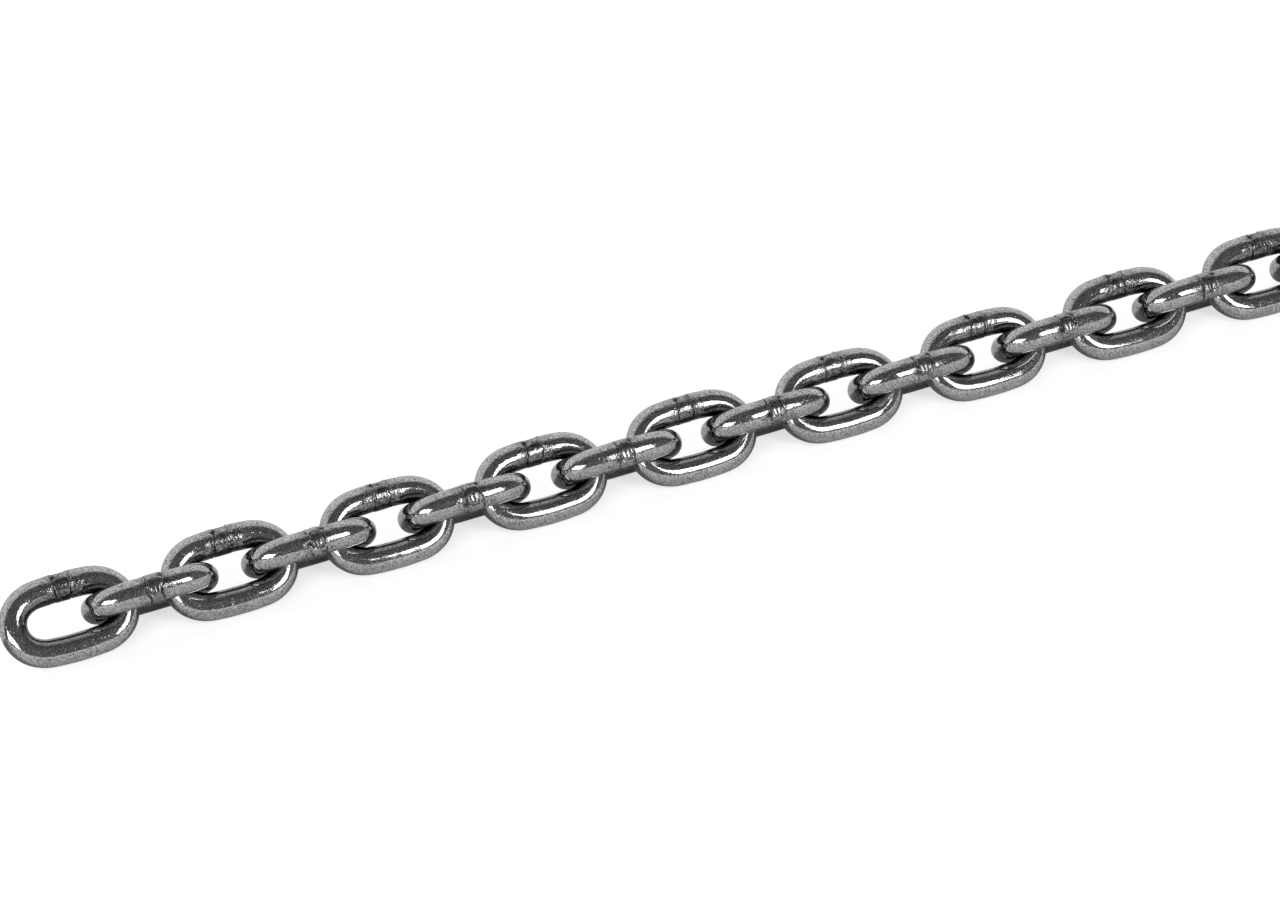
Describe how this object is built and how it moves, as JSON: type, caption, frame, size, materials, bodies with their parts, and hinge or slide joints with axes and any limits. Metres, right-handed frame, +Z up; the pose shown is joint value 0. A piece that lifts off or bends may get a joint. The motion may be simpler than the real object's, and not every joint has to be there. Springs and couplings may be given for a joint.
{
  "type": "length of short link steel chain",
  "caption": "Straight run of round steel short link chain, each link butt welded and turned a quarter turn from the next, laid out on a floor and free to swing link by link.",
  "frame": {"origin": "on the floor, under the middle of the straight chain", "axes": "+X along the chain from the free end that the picture shows, +Z up, -Y towards the picture's camera"},
  "size_m": [0.9956, 0.0256, 0.0255],
  "materials": {
    "polished_steel": "bright polished bar, finely pitted, with a heat tint and a rougher skin at each weld"
  },
  "bodies": {
    "link_01": {"link_01": "polished_steel"},
    "link_02": {"link_02": "polished_steel"},
    "link_03": {"link_03": "polished_steel"},
    "link_04": {"link_04": "polished_steel"},
    "link_05": {"link_05": "polished_steel"},
    "link_06": {"link_06": "polished_steel"},
    "link_07": {"link_07": "polished_steel"},
    "link_08": {"link_08": "polished_steel"},
    "link_09": {"link_09": "polished_steel"},
    "link_10": {"link_10": "polished_steel"},
    "link_11": {"link_11": "polished_steel"},
    "link_12": {"link_12": "polished_steel"},
    "link_13": {"link_13": "polished_steel"},
    "link_14": {"link_14": "polished_steel"},
    "link_15": {"link_15": "polished_steel"},
    "link_16": {"link_16": "polished_steel"},
    "link_17": {"link_17": "polished_steel"},
    "link_18": {"link_18": "polished_steel"},
    "link_19": {"link_19": "polished_steel"},
    "link_20": {"link_20": "polished_steel"},
    "link_21": {"link_21": "polished_steel"},
    "link_22": {"link_22": "polished_steel"},
    "link_23": {"link_23": "polished_steel"},
    "link_24": {"link_24": "polished_steel"},
    "link_25": {"link_25": "polished_steel"},
    "link_26": {"link_26": "polished_steel"},
    "link_27": {"link_27": "polished_steel"},
    "link_28": {"link_28": "polished_steel"},
    "link_29": {"link_29": "polished_steel"},
    "link_30": {"link_30": "polished_steel"},
    "link_31": {"link_31": "polished_steel"},
    "link_32": {"link_32": "polished_steel"},
    "link_33": {"link_33": "polished_steel"}
  },
  "joints": [
    {"name": "link_01_swing", "type": "hinge", "parent": "link_02", "child": "link_01", "pos_m": [-0.46325, 0, 0.01261], "axis": [0, 0.7071, -0.7071], "range_deg": [-110, 110]},
    {"name": "link_02_swing", "type": "hinge", "parent": "link_03", "child": "link_02", "pos_m": [-0.4337, 0, 0.01261], "axis": [0, -0.7071, -0.7071], "range_deg": [-110, 110]},
    {"name": "link_03_swing", "type": "hinge", "parent": "link_04", "child": "link_03", "pos_m": [-0.40415, 0, 0.01261], "axis": [0, -0.7071, 0.7071], "range_deg": [-110, 110]},
    {"name": "link_04_swing", "type": "hinge", "parent": "link_05", "child": "link_04", "pos_m": [-0.3746, 0, 0.01261], "axis": [0, 0.7071, 0.7071], "range_deg": [-110, 110]},
    {"name": "link_05_swing", "type": "hinge", "parent": "link_06", "child": "link_05", "pos_m": [-0.34505, 0, 0.01261], "axis": [0, 0.7071, -0.7071], "range_deg": [-110, 110]},
    {"name": "link_06_swing", "type": "hinge", "parent": "link_07", "child": "link_06", "pos_m": [-0.3155, 0, 0.01261], "axis": [0, -0.7071, -0.7071], "range_deg": [-110, 110]},
    {"name": "link_07_swing", "type": "hinge", "parent": "link_08", "child": "link_07", "pos_m": [-0.28595, 0, 0.01261], "axis": [0, -0.7071, 0.7071], "range_deg": [-110, 110]},
    {"name": "link_08_swing", "type": "hinge", "parent": "link_09", "child": "link_08", "pos_m": [-0.2564, 0, 0.01261], "axis": [0, 0.7071, 0.7071], "range_deg": [-110, 110]},
    {"name": "link_09_swing", "type": "hinge", "parent": "link_10", "child": "link_09", "pos_m": [-0.22685, 0, 0.01261], "axis": [0, 0.7071, -0.7071], "range_deg": [-110, 110]},
    {"name": "link_10_swing", "type": "hinge", "parent": "link_11", "child": "link_10", "pos_m": [-0.1973, 0, 0.01261], "axis": [0, -0.7071, -0.7071], "range_deg": [-110, 110]},
    {"name": "link_11_swing", "type": "hinge", "parent": "link_12", "child": "link_11", "pos_m": [-0.16775, 0, 0.01261], "axis": [0, -0.7071, 0.7071], "range_deg": [-110, 110]},
    {"name": "link_12_swing", "type": "hinge", "parent": "link_13", "child": "link_12", "pos_m": [-0.1382, 0, 0.01261], "axis": [0, 0.7071, 0.7071], "range_deg": [-110, 110]},
    {"name": "link_13_swing", "type": "hinge", "parent": "link_14", "child": "link_13", "pos_m": [-0.10865, 0, 0.01261], "axis": [0, 0.7071, -0.7071], "range_deg": [-110, 110]},
    {"name": "link_14_swing", "type": "hinge", "parent": "link_15", "child": "link_14", "pos_m": [-0.0791, 0, 0.01261], "axis": [0, -0.7071, -0.7071], "range_deg": [-110, 110]},
    {"name": "link_15_swing", "type": "hinge", "parent": "link_16", "child": "link_15", "pos_m": [-0.04955, 0, 0.01261], "axis": [0, -0.7071, 0.7071], "range_deg": [-110, 110]},
    {"name": "link_16_swing", "type": "hinge", "parent": "link_17", "child": "link_16", "pos_m": [-0.02, 0, 0.01261], "axis": [0, 0.7071, 0.7071], "range_deg": [-110, 110]},
    {"name": "link_18_swing", "type": "hinge", "parent": "link_17", "child": "link_18", "pos_m": [0.02, 0, 0.01261], "axis": [0, 0.7071, 0.7071], "range_deg": [-110, 110]},
    {"name": "link_19_swing", "type": "hinge", "parent": "link_18", "child": "link_19", "pos_m": [0.04955, 0, 0.01261], "axis": [0, -0.7071, 0.7071], "range_deg": [-110, 110]},
    {"name": "link_20_swing", "type": "hinge", "parent": "link_19", "child": "link_20", "pos_m": [0.0791, 0, 0.01261], "axis": [0, -0.7071, -0.7071], "range_deg": [-110, 110]},
    {"name": "link_21_swing", "type": "hinge", "parent": "link_20", "child": "link_21", "pos_m": [0.10865, 0, 0.01261], "axis": [0, 0.7071, -0.7071], "range_deg": [-110, 110]},
    {"name": "link_22_swing", "type": "hinge", "parent": "link_21", "child": "link_22", "pos_m": [0.1382, 0, 0.01261], "axis": [0, 0.7071, 0.7071], "range_deg": [-110, 110]},
    {"name": "link_23_swing", "type": "hinge", "parent": "link_22", "child": "link_23", "pos_m": [0.16775, 0, 0.01261], "axis": [0, -0.7071, 0.7071], "range_deg": [-110, 110]},
    {"name": "link_24_swing", "type": "hinge", "parent": "link_23", "child": "link_24", "pos_m": [0.1973, 0, 0.01261], "axis": [0, -0.7071, -0.7071], "range_deg": [-110, 110]},
    {"name": "link_25_swing", "type": "hinge", "parent": "link_24", "child": "link_25", "pos_m": [0.22685, 0, 0.01261], "axis": [0, 0.7071, -0.7071], "range_deg": [-110, 110]},
    {"name": "link_26_swing", "type": "hinge", "parent": "link_25", "child": "link_26", "pos_m": [0.2564, 0, 0.01261], "axis": [0, 0.7071, 0.7071], "range_deg": [-110, 110]},
    {"name": "link_27_swing", "type": "hinge", "parent": "link_26", "child": "link_27", "pos_m": [0.28595, 0, 0.01261], "axis": [0, -0.7071, 0.7071], "range_deg": [-110, 110]},
    {"name": "link_28_swing", "type": "hinge", "parent": "link_27", "child": "link_28", "pos_m": [0.3155, 0, 0.01261], "axis": [0, -0.7071, -0.7071], "range_deg": [-110, 110]},
    {"name": "link_29_swing", "type": "hinge", "parent": "link_28", "child": "link_29", "pos_m": [0.34505, 0, 0.01261], "axis": [0, 0.7071, -0.7071], "range_deg": [-110, 110]},
    {"name": "link_30_swing", "type": "hinge", "parent": "link_29", "child": "link_30", "pos_m": [0.3746, 0, 0.01261], "axis": [0, 0.7071, 0.7071], "range_deg": [-110, 110]},
    {"name": "link_31_swing", "type": "hinge", "parent": "link_30", "child": "link_31", "pos_m": [0.40415, 0, 0.01261], "axis": [0, -0.7071, 0.7071], "range_deg": [-110, 110]},
    {"name": "link_32_swing", "type": "hinge", "parent": "link_31", "child": "link_32", "pos_m": [0.4337, 0, 0.01261], "axis": [0, -0.7071, -0.7071], "range_deg": [-110, 110]},
    {"name": "link_33_swing", "type": "hinge", "parent": "link_32", "child": "link_33", "pos_m": [0.46325, 0, 0.01261], "axis": [0, 0.7071, -0.7071], "range_deg": [-110, 110]}
  ]
}
